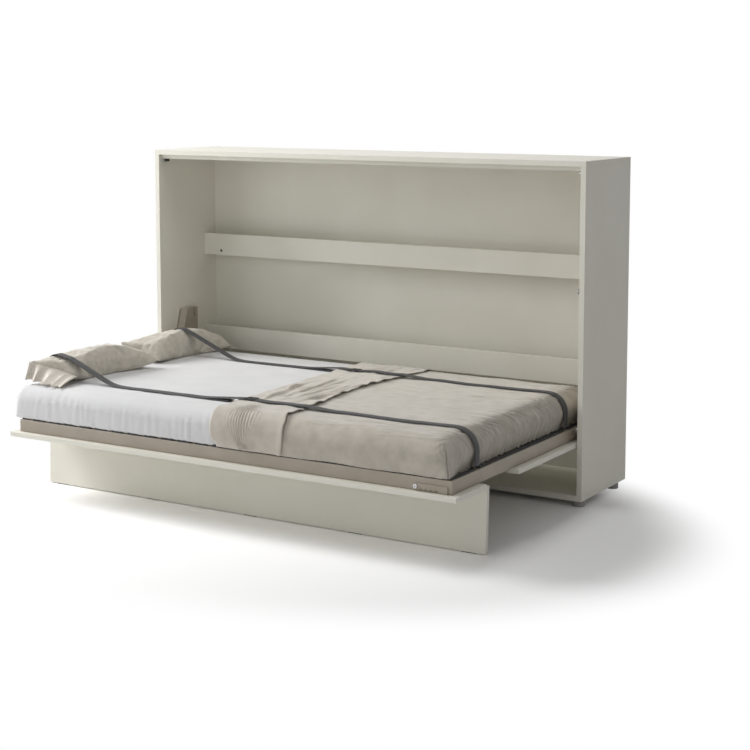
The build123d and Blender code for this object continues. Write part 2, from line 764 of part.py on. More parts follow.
def strap(y):
    """Webbing over pillow, mattress and blanket, tucked onto the frame at both ends."""
    lift = soft_gap + strap_thickness / 2
    rail = rail_top + lift
    left = mattress_left - lift
    right = mattress_right + soft_gap + blanket_thickness + lift
    low = mattress_top + soft_gap
    on_mattress = mattress_top + lift
    on_blanket = mattress_top + soft_gap + blanket_thickness + lift
    on_fold = fold_high + lift
    edge = pillow_right + lift
    crown = ((mattress_left + pillow_right) / 2, low + pillow_crown + lift)
    side = low + pillow_side
    rise = FilletPolyline((left + strap_tuck, rail), (left, rail), (left, side), radius=strap_turn_radius)
    over = ThreePointArc((left, side), crown, (edge, side))
    along = Polyline(
        (edge, side),
        (edge + strap_slope, on_mattress),
        (blanket_head - fold_slope, on_mattress),
        (blanket_head - lift, on_fold),
        (blanket_fold_end + lift, on_fold),
        (blanket_fold_end + fold_slope, on_blanket),
        (right - strap_bend, on_blanket),
    )
    corner = (right - strap_bend * (1 - sqrt(0.5)), on_blanket - strap_bend * (1 - sqrt(0.5)))
    turn = ThreePointArc((right - strap_bend, on_blanket), corner, (right, on_blanket - strap_bend))
    tuck = (right - strap_tuck, rail)
    fall = FilletPolyline((right, on_blanket - strap_bend), (right, rail), tuck, radius=strap_turn_radius)
    route = Wire([*rise.edges(), over, *along.edges(), turn, *fall.edges()])
    band = make_face(route.offset_2d(strap_thickness / 2))
    return across_y(band, (y - strap_width / 2, y + strap_width / 2))


def buckle(y):
    """Three-bar buckle lying on a strap over the blanket's fold."""
    low = fold_high + 2 * soft_gap + strap_thickness
    half_width = strap_width / 2 + buckle_margin
    x = (buckle_x - buckle_length / 2, buckle_x + buckle_length / 2)
    frame = block(x, (y - half_width, y + half_width), (low, low + buckle_height))
    frame = fillet(frame.edges(), buckle_round)
    for side in spread(2, buckle_length / 2):
        slot_x = (buckle_x + side - buckle_slot / 2, buckle_x + side + buckle_slot / 2)
        frame -= block(slot_x, (y - strap_width / 2, y + strap_width / 2), (low, low + buckle_height))
    return frame


def make_straps():
    front = mattress_front + front_strap_inset
    rear = mattress_front + rear_strap_inset
    save("front_strap", strap(front))
    save("rear_strap", strap(rear))
    save("strap_buckles", Compound([buckle(front), buckle(rear)]))


os.makedirs("parts", exist_ok=True)
make_carcass()
make_back()
make_feet()
make_buffers()
make_pivots()
make_arms()
make_struts()
make_covers()
make_front_boards()
make_frame()
make_slats()
make_pads()
make_lever()
make_leg()
make_leg_lugs()
make_mattress()
make_blanket()
make_pillows()
make_straps()
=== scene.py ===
import json
from math import cos, pi, radians, sin

import bmesh
import bpy
import numpy as np
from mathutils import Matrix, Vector
from mathutils.bvhtree import BVHTree


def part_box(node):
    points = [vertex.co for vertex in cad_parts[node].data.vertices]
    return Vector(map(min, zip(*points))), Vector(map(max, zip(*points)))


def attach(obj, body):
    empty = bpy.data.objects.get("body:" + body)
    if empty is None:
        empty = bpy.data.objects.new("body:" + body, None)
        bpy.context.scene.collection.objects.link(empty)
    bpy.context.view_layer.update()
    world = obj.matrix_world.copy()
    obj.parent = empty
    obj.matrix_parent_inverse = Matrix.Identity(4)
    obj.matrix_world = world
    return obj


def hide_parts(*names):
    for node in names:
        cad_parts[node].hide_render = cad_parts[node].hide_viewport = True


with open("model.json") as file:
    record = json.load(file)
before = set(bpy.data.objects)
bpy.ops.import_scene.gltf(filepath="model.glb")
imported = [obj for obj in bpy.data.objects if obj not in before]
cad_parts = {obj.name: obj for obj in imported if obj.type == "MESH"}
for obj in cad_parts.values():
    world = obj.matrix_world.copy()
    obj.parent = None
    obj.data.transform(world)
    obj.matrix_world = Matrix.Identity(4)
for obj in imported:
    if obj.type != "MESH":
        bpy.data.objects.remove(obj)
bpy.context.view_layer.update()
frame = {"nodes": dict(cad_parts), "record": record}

# Horizontal wall bed, folded down: finishes, bedding, straps, light and camera. Sizes in metres.

MM = 0.001
wave_turn = 20 / (2 * pi)      # a wave texture repeats this many times less often than its scale says

# Shader helpers

def linear(colour):
    """Linear colour of an sRGB hex value."""
    parts = [int(colour[i:i + 2], 16) / 255 for i in (1, 3, 5)]
    return [p / 12.92 if p <= 0.04045 else ((p + 0.055) / 1.055) ** 2.4 for p in parts] + [1.0]


def per_metre(size_mm):
    """Texture scale that gives features of one size."""
    return 1 / (size_mm * MM)


def add(tree, kind, inputs, **settings):
    """Add a node with its settings; each input is a value or the socket that feeds it."""
    node = tree.nodes.new(kind)
    for name, value in settings.items():
        setattr(node, name, value)
    for place, value in inputs.items():
        if isinstance(value, bpy.types.NodeSocket):
            tree.links.new(value, node.inputs[place])
        else:
            node.inputs[place].default_value = value
    return node


def finish_of(name, colour, roughness, **sockets):
    """New material with its plain values on the shader; gives the material, its tree and its shader."""
    made = bpy.data.materials.new(name)
    made.use_nodes = True
    shader = made.node_tree.nodes["Principled BSDF"]
    shader.inputs["Base Color"].default_value = linear(colour)
    shader.inputs["Roughness"].default_value = roughness
    for socket, value in sockets.items():
        shader.inputs[socket.replace("_", " ")].default_value = value
    return made, made.node_tree, shader


def mottle(tree, shader, vector, size_mm, dark, light, detail=3.0):
    """Base colour that drifts between two tones in patches of one size."""
    noise = add(tree, "ShaderNodeTexNoise", {"Vector": vector, "Scale": per_metre(size_mm), "Detail": detail})
    spread = add(tree, "ShaderNodeMapRange", {"Value": noise.outputs["Fac"], "From Min": 0.3,
                                              "From Max": 0.7})
    mix = add(tree, "ShaderNodeMix", {0: spread.outputs["Result"], 6: linear(dark), 7: linear(light)},
              data_type="RGBA")
    tree.links.new(mix.outputs[2], shader.inputs["Base Color"])
    return noise


def grain(tree, shader, vector, size_mm, depth_mm, detail=2.0, strength=1.0):
    """Fine relief of one grain size."""
    noise = add(tree, "ShaderNodeTexNoise", {"Vector": vector, "Scale": per_metre(size_mm), "Detail": detail})
    bump = add(tree, "ShaderNodeBump", {"Height": noise.outputs["Fac"], "Distance": depth_mm * MM,
                                        "Strength": strength})
    tree.links.new(bump.outputs["Normal"], shader.inputs["Normal"])


def object_place(tree):
    """Place on the object, in metres."""
    return add(tree, "ShaderNodeTexCoord", {}).outputs["Object"]


# Materials

def melamine_board():
    """Melamine-coated chipboard: an even warm off-white with a fine pearl texture and a dull sheen."""
    made, tree, shader = finish_of("melamine_board", "#E2DFD3", 0.5, IOR=1.5)
    place = object_place(tree)
    mottle(tree, shader, place, 240, "#DFDCD0", "#E4E1D6", 2.0)
    grain(tree, shader, place, 4, 0.05)
    return made


def powder_coat(name, dark, light):
    """Powder-coated steel: baked polyester with a slight orange peel."""
    made, tree, shader = finish_of(name, light, 0.48, IOR=1.5)
    place = object_place(tree)
    mottle(tree, shader, place, 90, dark, light)
    grain(tree, shader, place, 3, 0.08)
    return made


def moulded_plastic(name, dark, light, roughness):
    """Moulded plastic with a spark-eroded grain."""
    made, tree, shader = finish_of(name, light, roughness, IOR=1.46)
    place = object_place(tree)
    mottle(tree, shader, place, 30, dark, light)
    grain(tree, shader, place, 1.2, 0.06)
    return made


def metal(name, colour, roughness):
    """Bare or plated steel with faint streaks in its polish."""
    made, tree, shader = finish_of(name, colour, roughness, Metallic=1.0)
    place = object_place(tree)
    noise = add(tree, "ShaderNodeTexNoise", {"Vector": place, "Scale": per_metre(6), "Detail": 4.0})
    dull = add(tree, "ShaderNodeMapRange", {"Value": noise.outputs["Fac"], "To Min": roughness - 0.06,
                                            "To Max": roughness + 0.08})
    tree.links.new(dull.outputs["Result"], shader.inputs["Roughness"])
    return made


def wood(name, dark, light, along, grain_mm):
    """Planed wood: grain lines stretched along one axis under a thin lacquer."""
    made, tree, shader = finish_of(name, light, 0.42, IOR=1.5)
    squeeze = [1.0, 1.0, 1.0]
    squeeze[along] = 0.05
    turned = add(tree, "ShaderNodeMapping", {"Vector": object_place(tree), "Scale": squeeze})
    mottle(tree, shader, turned.outputs["Vector"], grain_mm, dark, light, 5.0)
    grain(tree, shader, turned.outputs["Vector"], grain_mm / 2, 0.05)
    return made


def cotton_sheet():
    """Percale cotton: white, matt, with a thread weave drawn coarser than real so that it shows."""
    made, tree, shader = finish_of("cotton_percale", "#D3D3D3", 0.85, Sheen_Weight=0.15)
    place = object_place(tree)
    mottle(tree, shader, place, 120, "#D0D0D1", "#D6D6D6", 2.0)
    grain(tree, shader, place, 3, 0.15)
    return made


def plush(name, dark, light):
    """Short-pile plush: taupe, with the nap brushed into lighter and darker patches."""
    made, tree, shader = finish_of(name, light, 0.9, Sheen_Weight=0.5, Sheen_Roughness=0.45)
    place = object_place(tree)
    mottle(tree, shader, place, 48, dark, light, 5.0)
    grain(tree, shader, place, 4, 0.35, 5.0)
    return made


def velvet():
    """Cotton velvet: taupe, crushed in handling, with a pale sheen where it turns away."""
    made, tree, shader = finish_of("pillow_velvet", "#C9C2B6", 0.85, Sheen_Weight=0.6, Sheen_Roughness=0.4)
    place = object_place(tree)
    mottle(tree, shader, place, 24, "#BFB8AB", "#D2CBBF", 6.0)
    grain(tree, shader, place, 5, 0.6, 6.0)
    return made


def sateen(name, dark, light):
    """Cotton sateen: smooth face with a low gleam along its floats."""
    made, tree, shader = finish_of(name, light, 0.55, Sheen_Weight=0.15)
    place = object_place(tree)
    mottle(tree, shader, place, 45, dark, light)
    grain(tree, shader, place, 2.5, 0.12)
    return made


def webbing():
    """Woven polyester strap: charcoal, with cross ribs about 2 mm apart drawn a little coarser."""
    made, tree, shader = finish_of("polyester_webbing", "#343435", 0.7, Sheen_Weight=0.1)
    place = add(tree, "ShaderNodeUVMap", {}, uv_map="woven").outputs["UV"]
    mottle(tree, shader, place, 8, "#2F2F30", "#3A3A3B")
    ribs = add(tree, "ShaderNodeTexWave", {"Vector": place, "Scale": per_metre(3 * wave_turn),
                                           "Distortion": 0.4}, bands_direction="X")
    bump = add(tree, "ShaderNodeBump", {"Height": ribs.outputs["Fac"], "Distance": 0.3 * MM})
    tree.links.new(bump.outputs["Normal"], shader.inputs["Normal"])
    return made


MATERIALS = {
    "coated_board": melamine_board(),
    "taupe_paint": powder_coat("taupe_powder_coat", "#A1988A", "#A99F92"),
    "black_paint": powder_coat("black_enamel", "#1C1C1D", "#242425"),
    "taupe_plastic": moulded_plastic("taupe_abs", "#9C9487", "#A69D90", 0.5),
    "grey_plastic": moulded_plastic("grey_polypropylene", "#8A8885", "#94928F", 0.5),
    "black_plastic": moulded_plastic("black_acetal", "#1F1F20", "#2A2A2B", 0.42),
    "bush_nylon": moulded_plastic("white_nylon", "#DAD8D0", "#E4E2DA", 0.45),
    "rubber": moulded_plastic("dark_rubber", "#232323", "#2C2C2C", 0.8),
    "steel": metal("zinc_plated_steel", "#C4C5C6", 0.32),
    "chrome": metal("hard_chrome", "#D4D5D6", 0.12),
    "birch_ply": wood("lacquered_birch", "#D2B78E", "#E2CDA8", 1, 5),
    "beech": wood("beech_dowel", "#C49A6C", "#D4AE82", 2, 4),
    "sheet_cotton": cotton_sheet(),
    "blanket_plush": plush("plush_pile", "#AFA89C", "#BFB8AC"),
    "pillow_velvet": velvet(),
    "webbing": webbing(),
}

plush_reverse = plush("plush_reverse", "#B4ADA1", "#C4BDB2")
flange_satin = sateen("satin_flange", "#C9C2B6", "#D3CDC2")

for part in frame["record"]["subparts"]:
    node = frame["nodes"][part["node"]]
    node.data.materials.clear()
    node.data.materials.append(MATERIALS[part["material_slot"]])


# Shared shaping of cloth

def points_of(bm):
    return np.array([vert.co for vert in bm.verts])


def put_points(bm, points):
    for vert, place in zip(bm.verts, points):
        vert.co = place


def new_piece(name, bm, slot, *finishes):
    """Object made from a bmesh, smooth, riding on the bed."""
    mesh = bpy.data.meshes.new(name)
    bm.to_mesh(mesh)
    bm.free()
    mesh.shade_smooth()
    for finish in finishes:
        mesh.materials.append(finish)
    piece = bpy.data.objects.new(name, mesh)
    bpy.context.collection.objects.link(piece)
    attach(piece, "bed")
    return piece


def block(low, high, pitches, open_sides=()):
    """Box of small faces, without the sides named by axis and end."""
    bm = bmesh.new()
    size = Vector(high) - Vector(low)
    bmesh.ops.create_cube(bm, size=1.0)
    bmesh.ops.scale(bm, vec=size, verts=bm.verts)
    bmesh.ops.translate(bm, vec=(Vector(low) + Vector(high)) / 2, verts=bm.verts)
    for axis in range(3):
        runs = [edge for edge in bm.edges
                if abs(edge.verts[1].co[axis] - edge.verts[0].co[axis]) > 0.9 * size[axis]]
        cuts = round(size[axis] / pitches[axis]) - 1
        bmesh.ops.subdivide_edges(bm, edges=runs, cuts=cuts, use_grid_fill=True)
    for axis, end in open_sides:
        level = (low, high)[end][axis]
        gone = [face for face in bm.faces if abs(face.calc_center_median()[axis] - level) < 1e-6]
        bmesh.ops.delete(bm, geom=gone, context="FACES")
    return bm


def rise(value, start, end):
    """Smooth rise from 0 to 1 between two values."""
    share = np.clip((value - start) / (end - start), 0, 1)
    return share * share * (3 - 2 * share)


def rounded(points, low, high, radii_low, radii_high, foot_radius, squareness):
    """Points of a box moved onto its rounded edges, with the way out at each.

    The foot radius is that of the lower edges; a high squareness keeps the upright edges sharp.
    """
    upper = rise(points[:, 2], low[2] + radii_low[2], high[2] - radii_high[2])[:, None]
    level = np.array([1.0, 1.0, 0.0])
    near = radii_low + level * (1 - upper) * (foot_radius - radii_low)
    far = radii_high + level * (1 - upper) * (foot_radius - radii_high)
    core = np.clip(points, low + near, high - far)
    reach = np.where(points < core, near, far)
    lean = (points - core) / reach
    plan = np.sum(np.abs(lean[:, :2]) ** squareness, axis=1) ** (1 / squareness)
    size = np.hypot(plan, lean[:, 2])
    lean /= size[:, None]
    plan = np.maximum(plan / size, 1e-6)[:, None]
    out = lean.copy()
    out[:, :2] = np.sign(lean[:, :2]) * np.abs(lean[:, :2]) ** (squareness - 1) * plan ** (2 - squareness)
    out /= reach
    out /= np.linalg.norm(out, axis=1, keepdims=True)
    return core + lean * reach, out


def unrolled(points, low, high):
    """Lengthwise and crosswise place on a cover with its sides and foot opened out flat."""
    x, y, z = points.T
    drop = high[2] - z
    along = x + np.where(x > high[0] - 1e-6, drop, 0)
    across = y + np.where(y > high[1] - 1e-6, drop, 0) - np.where(y < low[1] + 1e-6, drop, 0)
    return along, across


def bell(value, middle, width):
    return np.exp(-((value - middle) / width) ** 2)


def ripples(along, across, length, width, seed, count=8):
    """Uneven waves about as long and wide as given, from about -1 to 1."""
    chance = np.random.default_rng(seed)
    total = np.zeros_like(along)
    for turn, size, phase in zip(chance.uniform(0, 2 * pi, count), chance.uniform(0.7, 1.4, count),
                                 chance.uniform(0, 2 * pi, count)):
        total += np.cos(2 * pi * size * (along / length * cos(turn) + across / width * sin(turn)) + phase)
    return total / np.sqrt(count / 2) / 1.6


def gathers(place, spacing, wander):
    """Sharp crests side by side, one per spacing, pushed about by a wandering share of it."""
    return (1 - np.abs(np.sin(pi * (place / spacing + wander)))) ** 1.6


def crease(along, across, start, end, bow, width):
    """Ridge from one place to another, bowed sideways, with a shallow valley each side and fading ends."""
    run = np.array(end) - np.array(start)
    length = np.hypot(*run)
    forward = ((along - start[0]) * run[0] + (across - start[1]) * run[1]) / length ** 2
    aside = ((across - start[1]) * run[0] - (along - start[0]) * run[1]) / length
    share = np.clip(forward, 0, 1)
    off = aside - 4 * bow * share * (1 - share)
    return (bell(off, 0, width) - 0.45 * bell(off, 0, 2.2 * width)) * np.sin(pi * share) ** 0.6


# Mattress in its fitted sheet

mattress_low, mattress_high = [np.array(corner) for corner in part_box("mattress")]
mattress_top = mattress_high[2]
sheet_pitches = np.array([9, 11, 7]) * MM
sheet_radii_low = np.array([28, 54, 8]) * MM
sheet_radii_high = np.array([90, 56, 58]) * MM
sheet_foot_radius = 12 * MM
sheet_squareness = 3.2
sheet_out = 6 * MM
sheet_under = 3 * MM           # drawn in below the blanket
skirt_drop = 7.8 * MM
head_bulge = 23 * MM
head_bulge_from, head_bulge_to = -60 * MM, -300 * MM
sheet_creases = (
    ((-0.60, -0.55), (-0.34, -0.47)),
    ((-0.50, -0.60), (-0.22, -0.50)),
    ((-0.78, -0.62), (-0.58, -0.53)),
    ((-0.36, -0.46), (-0.12, -0.38)),
    ((-0.30, -0.62), (-0.12, -0.55)),
)


def draw_in_foot(points, out, depth):
    """Draw the foot end in, most at its lower edge and away from the front corner."""
    past_corner = rise(points[:, 1], mattress_low[1] + 0.01, mattress_low[1] + 0.12)
    lower = rise(points[:, 2] - hem_level, tuck_height, 0.0)
    points[:, 0] -= depth * past_corner * np.clip(out[:, 0], 0, 1) * lower


def make_mattress():
    low, high = mattress_low, mattress_high
    bm = block(low, high, sheet_pitches)
    flat = points_of(bm)
    along, across = unrolled(flat, low, high)
    points, out = rounded(flat, low, high, sheet_radii_low, sheet_radii_high, sheet_foot_radius,
                          sheet_squareness)
    height = (points[:, 2] - low[2]) / (high[2] - low[2])
    beside = 1 - np.abs(out[:, 2])
    on_top = np.clip(out[:, 2], 0, 1)
    bare = rise(along, fold_place + 0.08, fold_place + 0.03)
    swell = sheet_out * beside * bare * (0.75 + 0.25 * np.sin(pi * np.clip(height, 0, 1)))
    swell -= sheet_under * (1 - bare)
    lead = rise(points[:, 1], head_bulge_from, head_bulge_to)
    swell *= 1 - 0.9 * (1 - lead) * np.clip(-out[:, 0], 0, 1)
    swell += 1.0 * MM * on_top * bare * ripples(along, across, 0.5, 0.4, 3)
    # Tucks down the sides, uneven and stronger in places
    slack = rise(ripples(along, across, 0.3, 2.0, 5), -0.6, 0.8)
    tucks = gathers(along, 29 * MM, 0.9 * ripples(along, across, 0.22, 0.5, 4))
    swell += 2.2 * MM * beside * bare * slack * tucks
    swell += 0.9 * MM * beside * bare * ripples(along, across, 0.024, 0.3, 6, 12)
    for start, end in sheet_creases:
        swell += 4 * MM * on_top * crease(along, across, start, end, 18 * MM, 8 * MM)
    points += out * swell[:, None]
    touching = 0.88 + 0.12 * ripples(along, across, 0.11, 2.0, 7)
    points[:, 2] -= skirt_drop * bare * touching * np.clip(-out[:, 1] + 0.3, 0, 1) * rise(height, 0.35, 0.0)
    draw_in_foot(points, out, foot_tuck + sheet_under)
    points[:, 0] -= head_bulge * lead * rise(points[:, 0], low[0] + 0.5, low[0])
    put_points(bm, points)
    piece = new_piece("mattress_in_sheet", bm, "sheet_cotton", MATERIALS["sheet_cotton"])
    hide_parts("mattress")
    return piece


# Blanket: one fitted cover, with its head end folded back into a band

blanket_thickness = 3 * MM
main_lift = 5 * MM
band_lift = 12 * MM
band_side_lift = 9.5 * MM
fold_place = -66 * MM
fold_roll = 5 * MM
fold_corner = 32 * MM
band_end = 250 * MM
hem_level = 310.5 * MM
hem_radius = 9 * MM
foot_tuck = 24 * MM            # how far the foot end is drawn in at its hem
tuck_height = 75 * MM
main_pitches = np.array([13, 4, 7]) * MM
band_pitches = np.array([3.8, 9.2, 7]) * MM
closeness = 0.65               # how much closer the columns stand at a busy place
cover_radii = np.array([84, 70, 72]) * MM
corner_sharpness = 4.0
foot_swell = 6 * MM
seam_top = 122 * MM            # top of the corner seam, above the hem
gather_place = 72 * MM
deepest_dip = 1.5 * MM


def fold_shift(across):
    """How far the fold at the head end runs from square, across the bed and down its front side."""
    front, rear = mattress_low[1], mattress_high[1]
    back = np.clip((across - front) / (rear - front), 0, 1)
    low_corner = np.clip((front - across - mattress_top + hem_level) / fold_corner + 1.15, 0, 1)
    return 35 * MM * (1 - back) ** 1.6 + fold_corner * (1 - np.sqrt(1 - low_corner ** 2))


def cover_layer(low, high, pitches, open_sides, busy_place):
    """Cover with rounded edges, with its place laid flat and the way out at each point.

    Its columns stand closer together about one busy place.
    """
    bm = block(low, high, pitches, open_sides)
    for edge in bm.edges:
        edge.seam = all(abs(vert.co.x - low[0]) < 1e-6 for vert in edge.verts)
    flat = points_of(bm)
    length = high[0] - low[0]
    share, busy = (flat[:, 0] - low[0]) / length, (busy_place - low[0]) / length
    drift = (np.sin(2 * pi * (share - busy)) + sin(2 * pi * busy)) / (2 * pi)
    flat[:, 0] -= closeness * length * drift
    box_low = low - np.array([1.0, 0, 0])
    box_high = high + np.array([1.0 if (0, 1) in open_sides else 0.0, 0, 0])
    along, across = unrolled(flat, box_low, box_high)
    lower = cover_radii * (1, 1, 0) + np.array([0, 0, hem_radius])
    points, out = rounded(flat, box_low, box_high, lower, cover_radii, hem_radius, corner_sharpness)
    return bm, points, out, along, across


def long_wrinkles(chance):
    """Shallow wrinkles drawn along the top, most of them near the front and the foot."""
    for _ in range(34):
        start = np.array([chance.uniform(0.3, 0.86), mattress_low[1] + 1.1 * chance.uniform(0, 1) ** 1.5])
        swing = radians(chance.normal(0, 9))
        reach = chance.uniform(0.1, 0.34)
        yield start, start + reach * np.array([cos(swing), sin(swing)]), chance.uniform(-14, 14) * MM


def make_main_layer():
    low = np.array([fold_place, mattress_low[1] - main_lift, hem_level])
    high = mattress_high + main_lift + np.array([foot_swell, 0, 0])
    bm, points, out, along, across = cover_layer(low, high, main_pitches, ((2, 0), (0, 0)), high[0])
    edge, front = high[0], low[1]
    on_top = np.clip(out[:, 2], 0, 1)
    on_foot = np.clip(out[:, 0], 0, 1)
    height = points[:, 2] - low[2]
    swell = 1.3 * MM * ripples(along, across, 0.3, 0.22, 11)
    swell += 0.5 * MM * ripples(along, across, 0.09, 0.06, 12)
    for start, end, bow in long_wrinkles(np.random.default_rng(14)):
        swell += 3.0 * MM * on_top * crease(along, across, start, end, bow, 7 * MM)
    # Gathers that run off the top and down the foot end
    slide = across + 0.05 * np.exp(-np.clip(along - edge + 0.05, 0, 1) / 0.05)
    waves = np.cos(2 * pi * (slide / 31 + 0.55 * MM * ripples(along, across, 0.25, 0.17, 13)) / MM)
    waves += 0.5 * np.cos(2 * pi * (slide / 19 + 0.6 * MM * ripples(along, across, 0.2, 0.2, 15)) / MM)
    kept = rise(along, edge - 0.16, edge - 0.02) * (0.3 + 0.7 * rise(across, front + 0.03, front + 0.25))
    swell += 3.4 * MM * waves * kept
    # Seam down the front corner, with wrinkles that arch over its top
    beside = 1 - on_top
    seam_off = np.maximum(edge - along, 0) + np.maximum(across - front, 0)
    around = np.hypot(seam_off, height - seam_top + 0.02)
    arches = np.cos(2 * pi * around / 0.018) * np.exp(-around / 0.06)
    swell += 2.6 * MM * arches * beside * rise(across, front + 0.2, front)
    seam = bell(seam_off, 0, 2.5 * MM) * beside * rise(height, seam_top, seam_top - 0.01)
    swell = np.maximum(swell, -deepest_dip - 3 * MM * on_foot) - 9 * MM * seam
    points += out * swell[:, None]
    draw_in_foot(points, out, foot_tuck)
    points[:, 0] += fold_shift(across) * rise(along, band_end + 0.1, fold_place)
    put_points(bm, points)
    return bm


def fan_creases(chance):
    """Deep creases of the turned-back part: they fan out from beside the front buckle towards the rear."""
    middle = np.array([0.06, -0.5])
    for number, swing in enumerate(radians(1) * np.linspace(97, 66, 9)):
        way = np.array([cos(swing), sin(swing)])
        start = middle + way * chance.uniform(0.01, 0.06) + np.array([0.014 * number - 0.05, 0])
        yield start, start + way * chance.uniform(0.34, 0.62), chance.uniform(-26, 26) * MM, 13 * MM, 1.0
    for _ in range(16):
        start = np.array([chance.uniform(-0.06, 0.2), chance.uniform(-0.46, 0.4)])
        swing = radians(chance.uniform(74, 98))
        reach = chance.uniform(0.14, 0.34)
        end = start + reach * np.array([cos(swing), sin(swing)])
        size = chance.uniform(0.3, 0.6)
        yield start, end, chance.uniform(-18, 18) * MM, (6 + 9 * size) * MM, size


def make_band_layer():
    low = np.array([fold_place, mattress_low[1] - band_side_lift, hem_level + 1 * MM])
    high = np.array([band_end, mattress_high[1] + band_side_lift, mattress_top + band_lift])
    open_sides = ((2, 0), (0, 0), (0, 1))
    bm, points, out, along, across = cover_layer(low, high, band_pitches, open_sides, gather_place)
    front = low[1]
    on_top = np.clip(out[:, 2], 0, 1)
    in_front = np.clip(-out[:, 1], 0, 1)
    swell = 2.0 * MM * on_top * ripples(along, across, 0.16, 0.14, 21)
    for start, end, bow, width, size in fan_creases(np.random.default_rng(22)):
        swell += 10 * MM * size * on_top * crease(along, across, start, end, bow, width)
    # Gathers that fan out from the buckle to the front edge and draw together again down the side
    narrowed = 1 - 0.45 * rise(high[2] - points[:, 2], 0.02, 0.13) * in_front
    narrowed -= 0.55 * rise(points[:, 1], front + 0.02, front + 0.2)
    fan = gather_place + (along - gather_place) / narrowed
    crests = gathers(fan, 13.5 * MM, 0.28 * ripples(along, across, 0.09, 0.3, 23))
    spread = np.clip(in_front + on_top * rise(points[:, 1], front + 0.2, front + 0.06), 0, 1)
    swell += 4.5 * MM * spread * crests * rise(np.abs(fan - gather_place), 0.1, 0.06)
    # Free edge, lifted in a slow wave
    swell += 2.5 * MM * rise(along, band_end - 0.03, band_end) * (1 + ripples(along, across, 2.0, 0.09, 25))
    points += out * swell[:, None]
    reach = (along - fold_place) / (band_end - fold_place)
    free = 0.026 * np.cos(pi * (across + 0.63) / 0.62) + 0.003 * ripples(along, across, 3.0, 0.1, 26)
    points[:, 0] += fold_shift(across) * (1 - reach) + (free + 0.026 * in_front) * reach
    put_points(bm, points)
    return bm


def make_blanket():
    bm = make_main_layer()
    band = make_band_layer()
    bmesh.ops.reverse_faces(band, faces=band.faces)
    for face in band.faces:
        face.material_index = 1
    folded = bpy.data.meshes.new("band")
    band.to_mesh(folded)
    band.free()
    bm.from_mesh(folded)
    bpy.data.meshes.remove(folded)
    turn = bmesh.ops.bridge_loops(bm, edges=[edge for edge in bm.edges if edge.seam])
    for face in turn["faces"]:
        face.material_index = 1
    across_turn = [edge for edge in turn["edges"] if not edge.seam]
    inner = bmesh.ops.subdivide_edges(bm, edges=across_turn, cuts=2)["geom_inner"]
    rolled = [part for part in inner if isinstance(part, bmesh.types.BMVert)]
    bmesh.ops.translate(bm, vec=(-fold_roll, 0, 0), verts=rolled)
    bmesh.ops.recalc_face_normals(bm, faces=bm.faces)
    piece = new_piece("blanket_cover", bm, "blanket_plush", MATERIALS["blanket_plush"], plush_reverse)
    shell = piece.modifiers.new("thickness", "SOLIDIFY")
    shell.thickness = blanket_thickness
    shell.offset = 0
    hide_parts("blanket")
    return piece


# Pillows: velvet covers blown up by a filling, with a satin flange at one end

pillow_wide = 270 * MM
pillow_slack = 1.1             # flat cover's length over that of the filled one
pillow_pitch = 8 * MM
pillow_crown = 122 * MM
pillow_gap = 1 * MM
pucker_spacing = 17 * MM
flange_thickness = 1.5 * MM


def flat_cover(width, length, pitch):
    """Two flat cloths sewn together round their edges, a little apart in the middle."""
    bm = bmesh.new()
    bmesh.ops.create_grid(bm, x_segments=round(width / pitch), y_segments=round(length / pitch), size=0.5)
    bmesh.ops.scale(bm, vec=(width, length, 1), verts=bm.verts)
    lower = bmesh.ops.duplicate(bm, geom=bm.faces[:])["geom"]
    under = [part for part in lower if isinstance(part, bmesh.types.BMFace)]
    bmesh.ops.reverse_faces(bm, faces=under)
    lowered = {vert for face in under for vert in face.verts}
    for vert in bm.verts:
        inset = min(width / 2 - abs(vert.co.x), length / 2 - abs(vert.co.y))
        vert.co.z = (-1 if vert in lowered else 1) * min(inset, 4 * pitch) * 0.25
    bmesh.ops.remove_doubles(bm, verts=bm.verts, dist=0.1 * MM)
    bmesh.ops.recalc_face_normals(bm, faces=bm.faces)
    return bm


def blow_up(piece, pressure, frames):
    """Fill a closed cover like a cushion, and give the places that its points take."""
    cloth = piece.modifiers.new("filling", "CLOTH")
    cloth.settings.quality = 6
    cloth.settings.mass = 0.15
    cloth.settings.tension_stiffness = 40
    cloth.settings.compression_stiffness = 25
    cloth.settings.shear_stiffness = 12
    cloth.settings.bending_stiffness = 0.4
    cloth.settings.air_damping = 4
    cloth.settings.use_pressure = True
    cloth.settings.uniform_pressure_force = pressure
    cloth.settings.effector_weights.gravity = 0
    cloth.collision_settings.use_collision = False
    scene = bpy.context.scene
    for number in range(1, frames + 1):
        scene.frame_set(number)
    filled = piece.evaluated_get(bpy.context.evaluated_depsgraph_get())
    points = np.array([vert.co for vert in filled.data.vertices])
    piece.modifiers.clear()
    scene.frame_set(1)
    return points


